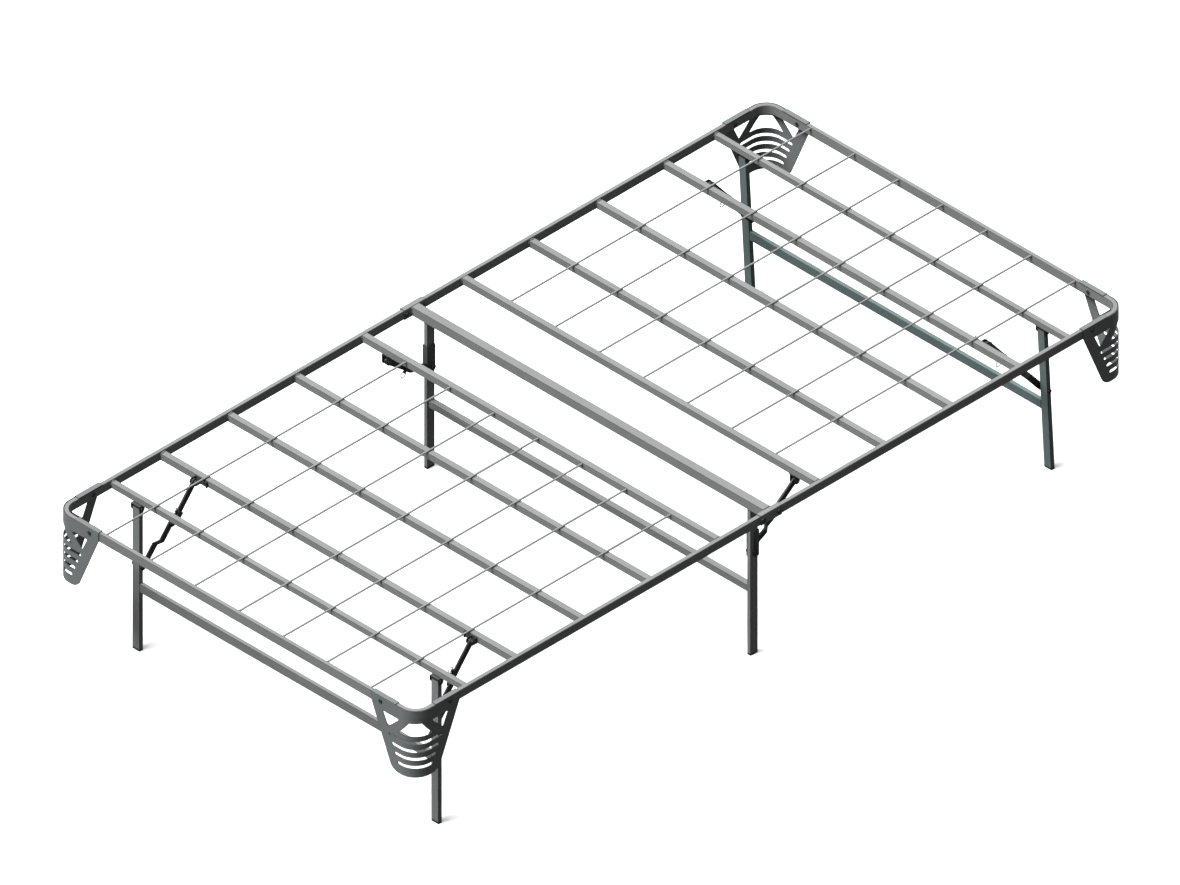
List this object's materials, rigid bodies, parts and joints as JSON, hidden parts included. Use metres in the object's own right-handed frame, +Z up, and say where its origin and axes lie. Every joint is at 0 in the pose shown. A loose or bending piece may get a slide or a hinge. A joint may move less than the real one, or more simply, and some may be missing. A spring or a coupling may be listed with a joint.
{
  "type": "folding metal bed frame",
  "caption": "Low folding metal bed frame with square-tube slats, lengthwise support wires, folding braced legs and pierced sheet corner guards.",
  "frame": {"origin": "on the floor under the middle of the bed", "axes": "+X towards the head end (the splayed legs), +Y towards the far long side, +Z up"},
  "size_m": [1.9112, 0.9736, 0.3558],
  "materials": {
    "frame_coat": "graphite powder coat, fine satin texture",
    "guard_coat": "graphite powder coat on sheet steel",
    "brace_steel": "black e-coat, semi-matte",
    "rivets": "zinc-plated steel, dulled",
    "bare_wire": "bright zinc-plated wire",
    "foot_caps": "moulded black polyethylene"
  },
  "bodies": {
    "centre_frame": {"centre_crossbar": "frame_coat", "centre_stretcher": "frame_coat", "hinge_channel_near": "frame_coat", "hinge_channel_far": "frame_coat", "centre_leg_near": "frame_coat", "centre_leg_far": "frame_coat", "centre_leg_caps": "foot_caps", "centre_brace_plates": "brace_steel", "hinge_pins": "rivets"},
    "foot_half": {"foot_rail": "frame_coat", "foot_slat_1": "frame_coat", "foot_slat_2": "frame_coat", "foot_slat_3": "frame_coat", "foot_slat_4": "frame_coat", "foot_slat_5": "frame_coat", "foot_wires": "frame_coat", "foot_guard_near": "guard_coat", "foot_guard_far": "guard_coat", "foot_brackets": "brace_steel", "foot_rivets": "rivets"},
    "foot_leg_frame": {"foot_leg_near": "frame_coat", "foot_leg_far": "frame_coat", "foot_leg_stretcher": "frame_coat", "foot_leg_caps": "foot_caps"},
    "foot_near_upper_link": {"foot_near_upper_link": "brace_steel"},
    "foot_near_lower_link": {"foot_near_lower_link": "brace_steel"},
    "foot_near_pull_ring": {"foot_near_pull_ring": "bare_wire"},
    "foot_far_upper_link": {"foot_far_upper_link": "brace_steel"},
    "foot_far_lower_link": {"foot_far_lower_link": "brace_steel"},
    "foot_far_pull_ring": {"foot_far_pull_ring": "bare_wire"},
    "centre_foot_upper_link": {"centre_foot_upper_link": "brace_steel"},
    "centre_foot_lower_link": {"centre_foot_lower_link": "brace_steel"},
    "centre_foot_pull_ring": {"centre_foot_pull_ring": "bare_wire"},
    "head_half": {"head_rail": "frame_coat", "head_slat_1": "frame_coat", "head_slat_2": "frame_coat", "head_slat_3": "frame_coat", "head_slat_4": "frame_coat", "head_slat_5": "frame_coat", "head_wires": "frame_coat", "head_guard_near": "guard_coat", "head_guard_far": "guard_coat", "head_brackets": "brace_steel", "head_rivets": "rivets"},
    "head_leg_frame": {"head_leg_near": "frame_coat", "head_leg_far": "frame_coat", "head_leg_stretcher": "frame_coat", "head_leg_caps": "foot_caps"},
    "head_near_upper_link": {"head_near_upper_link": "brace_steel"},
    "head_near_lower_link": {"head_near_lower_link": "brace_steel"},
    "head_near_pull_ring": {"head_near_pull_ring": "bare_wire"},
    "head_far_upper_link": {"head_far_upper_link": "brace_steel"},
    "head_far_lower_link": {"head_far_lower_link": "brace_steel"},
    "head_far_pull_ring": {"head_far_pull_ring": "bare_wire"},
    "centre_head_upper_link": {"centre_head_upper_link": "brace_steel"},
    "centre_head_lower_link": {"centre_head_lower_link": "brace_steel"},
    "centre_head_pull_ring": {"centre_head_pull_ring": "bare_wire"}
  },
  "joints": [
    {"name": "foot_fold", "type": "hinge", "parent": "centre_frame", "child": "foot_half", "pos_m": [-0.0216, 0, 0.344], "axis": [0, -1, 0], "range_deg": [0, 82]},
    {"name": "foot_leg_fold", "type": "hinge", "parent": "foot_half", "child": "foot_leg_frame", "pos_m": [-0.814, 0, 0.328], "axis": [0, -1, 0], "range_deg": [0, 90.01]},
    {"name": "foot_near_brace_top", "type": "hinge", "parent": "foot_half", "child": "foot_near_upper_link", "pos_m": [-0.692, -0.371, 0.342], "axis": [0, -1, 0], "range_deg": [-50.51, 0]},
    {"name": "foot_near_brace_foot", "type": "hinge", "parent": "foot_leg_frame", "child": "foot_near_lower_link", "pos_m": [-0.814, -0.3884, 0.196], "axis": [0, -1, 0], "range_deg": [0, 31.55]},
    {"name": "foot_near_ring_swing", "type": "hinge", "parent": "foot_near_upper_link", "child": "foot_near_pull_ring", "pos_m": [-0.74161, -0.37, 0.29745], "axis": [-0.6412, 0, -0.7674], "range_deg": [0, 30.01]},
    {"name": "foot_far_brace_top", "type": "hinge", "parent": "foot_half", "child": "foot_far_upper_link", "pos_m": [-0.692, 0.371, 0.342], "axis": [0, -1, 0], "range_deg": [-50.51, 0]},
    {"name": "foot_far_brace_foot", "type": "hinge", "parent": "foot_leg_frame", "child": "foot_far_lower_link", "pos_m": [-0.814, 0.3884, 0.196], "axis": [0, -1, 0], "range_deg": [0, 31.55]},
    {"name": "foot_far_ring_swing", "type": "hinge", "parent": "foot_far_upper_link", "child": "foot_far_pull_ring", "pos_m": [-0.74161, 0.37, 0.29745], "axis": [0.6412, 0, 0.7674], "range_deg": [0, 30.01]},
    {"name": "centre_foot_brace_top", "type": "hinge", "parent": "foot_half", "child": "centre_foot_upper_link", "pos_m": [-0.1356, 0.411, 0.323], "axis": [0, -1, 0], "range_deg": [0, 31.52]},
    {"name": "centre_foot_brace_foot", "type": "hinge", "parent": "centre_frame", "child": "centre_foot_lower_link", "pos_m": [0, 0.424, 0.235], "axis": [0, -1, 0], "range_deg": [-66.5, 0]},
    {"name": "centre_foot_ring_swing", "type": "hinge", "parent": "centre_foot_upper_link", "child": "centre_foot_pull_ring", "pos_m": [-0.08952, 0.41, 0.2748], "axis": [-0.787, 0, 0.617], "range_deg": [0, 30.01]},
    {"name": "head_fold", "type": "hinge", "parent": "centre_frame", "child": "head_half", "pos_m": [0.0216, 0, 0.344], "axis": [0, 1, 0], "range_deg": [0, 82]},
    {"name": "head_leg_fold", "type": "hinge", "parent": "head_half", "child": "head_leg_frame", "pos_m": [0.81, 0, 0.328], "axis": [0, 1, 0], "range_deg": [0, 93.25]},
    {"name": "head_near_brace_top", "type": "hinge", "parent": "head_half", "child": "head_near_upper_link", "pos_m": [0.692, -0.371, 0.3395], "axis": [0, 1, 0], "range_deg": [-42.01, 0]},
    {"name": "head_near_brace_foot", "type": "hinge", "parent": "head_leg_frame", "child": "head_near_lower_link", "pos_m": [0.81803, -0.3884, 0.18623], "axis": [0, 1, 0], "range_deg": [0, 37.01]},
    {"name": "head_near_ring_swing", "type": "hinge", "parent": "head_near_upper_link", "child": "head_near_pull_ring", "pos_m": [0.72658, -0.37, 0.28249], "axis": [0.6351, 0, -0.7724], "range_deg": [0, 30.01]},
    {"name": "head_far_brace_top", "type": "hinge", "parent": "head_half", "child": "head_far_upper_link", "pos_m": [0.692, 0.371, 0.3395], "axis": [0, 1, 0], "range_deg": [-42.01, 0]},
    {"name": "head_far_brace_foot", "type": "hinge", "parent": "head_leg_frame", "child": "head_far_lower_link", "pos_m": [0.81803, 0.3884, 0.18623], "axis": [0, 1, 0], "range_deg": [0, 37.01]},
    {"name": "head_far_ring_swing", "type": "hinge", "parent": "head_far_upper_link", "child": "head_far_pull_ring", "pos_m": [0.72658, 0.37, 0.28249], "axis": [-0.6351, 0, 0.7724], "range_deg": [0, 30.01]},
    {"name": "centre_head_brace_top", "type": "hinge", "parent": "head_half", "child": "centre_head_upper_link", "pos_m": [0.1356, -0.411, 0.323], "axis": [0, 1, 0], "range_deg": [0, 31.52]},
    {"name": "centre_head_brace_foot", "type": "hinge", "parent": "centre_frame", "child": "centre_head_lower_link", "pos_m": [0, -0.424, 0.235], "axis": [0, 1, 0], "range_deg": [-66.5, 0]},
    {"name": "centre_head_ring_swing", "type": "hinge", "parent": "centre_head_upper_link", "child": "centre_head_pull_ring", "pos_m": [0.08952, -0.41, 0.2748], "axis": [0.787, 0, 0.617], "range_deg": [0, 30.01]}
  ],
  "couplings": [
    {"joint": "foot_leg_fold", "follows": "foot_fold", "ratio": 1.0976},
    {"joint": "foot_near_brace_top", "follows": "foot_fold", "ratio": -0.6159},
    {"joint": "foot_near_brace_foot", "follows": "foot_fold", "ratio": 0.38464},
    {"joint": "foot_near_ring_swing", "follows": "foot_fold", "ratio": 0.36585},
    {"joint": "foot_far_brace_top", "follows": "foot_fold", "ratio": -0.6159},
    {"joint": "foot_far_brace_foot", "follows": "foot_fold", "ratio": 0.38464},
    {"joint": "foot_far_ring_swing", "follows": "foot_fold", "ratio": 0.36585},
    {"joint": "centre_foot_brace_top", "follows": "foot_fold", "ratio": 0.38427},
    {"joint": "centre_foot_brace_foot", "follows": "foot_fold", "ratio": -0.81081},
    {"joint": "centre_foot_ring_swing", "follows": "foot_fold", "ratio": 0.36585},
    {"joint": "head_leg_fold", "follows": "head_fold", "ratio": 1.1371},
    {"joint": "head_near_brace_top", "follows": "head_fold", "ratio": -0.5122},
    {"joint": "head_near_brace_foot", "follows": "head_fold", "ratio": 0.45123},
    {"joint": "head_near_ring_swing", "follows": "head_fold", "ratio": 0.36585},
    {"joint": "head_far_brace_top", "follows": "head_fold", "ratio": -0.5122},
    {"joint": "head_far_brace_foot", "follows": "head_fold", "ratio": 0.45123},
    {"joint": "head_far_ring_swing", "follows": "head_fold", "ratio": 0.36585},
    {"joint": "centre_head_brace_top", "follows": "head_fold", "ratio": 0.38427},
    {"joint": "centre_head_brace_foot", "follows": "head_fold", "ratio": -0.81081},
    {"joint": "centre_head_ring_swing", "follows": "head_fold", "ratio": 0.36585}
  ]
}
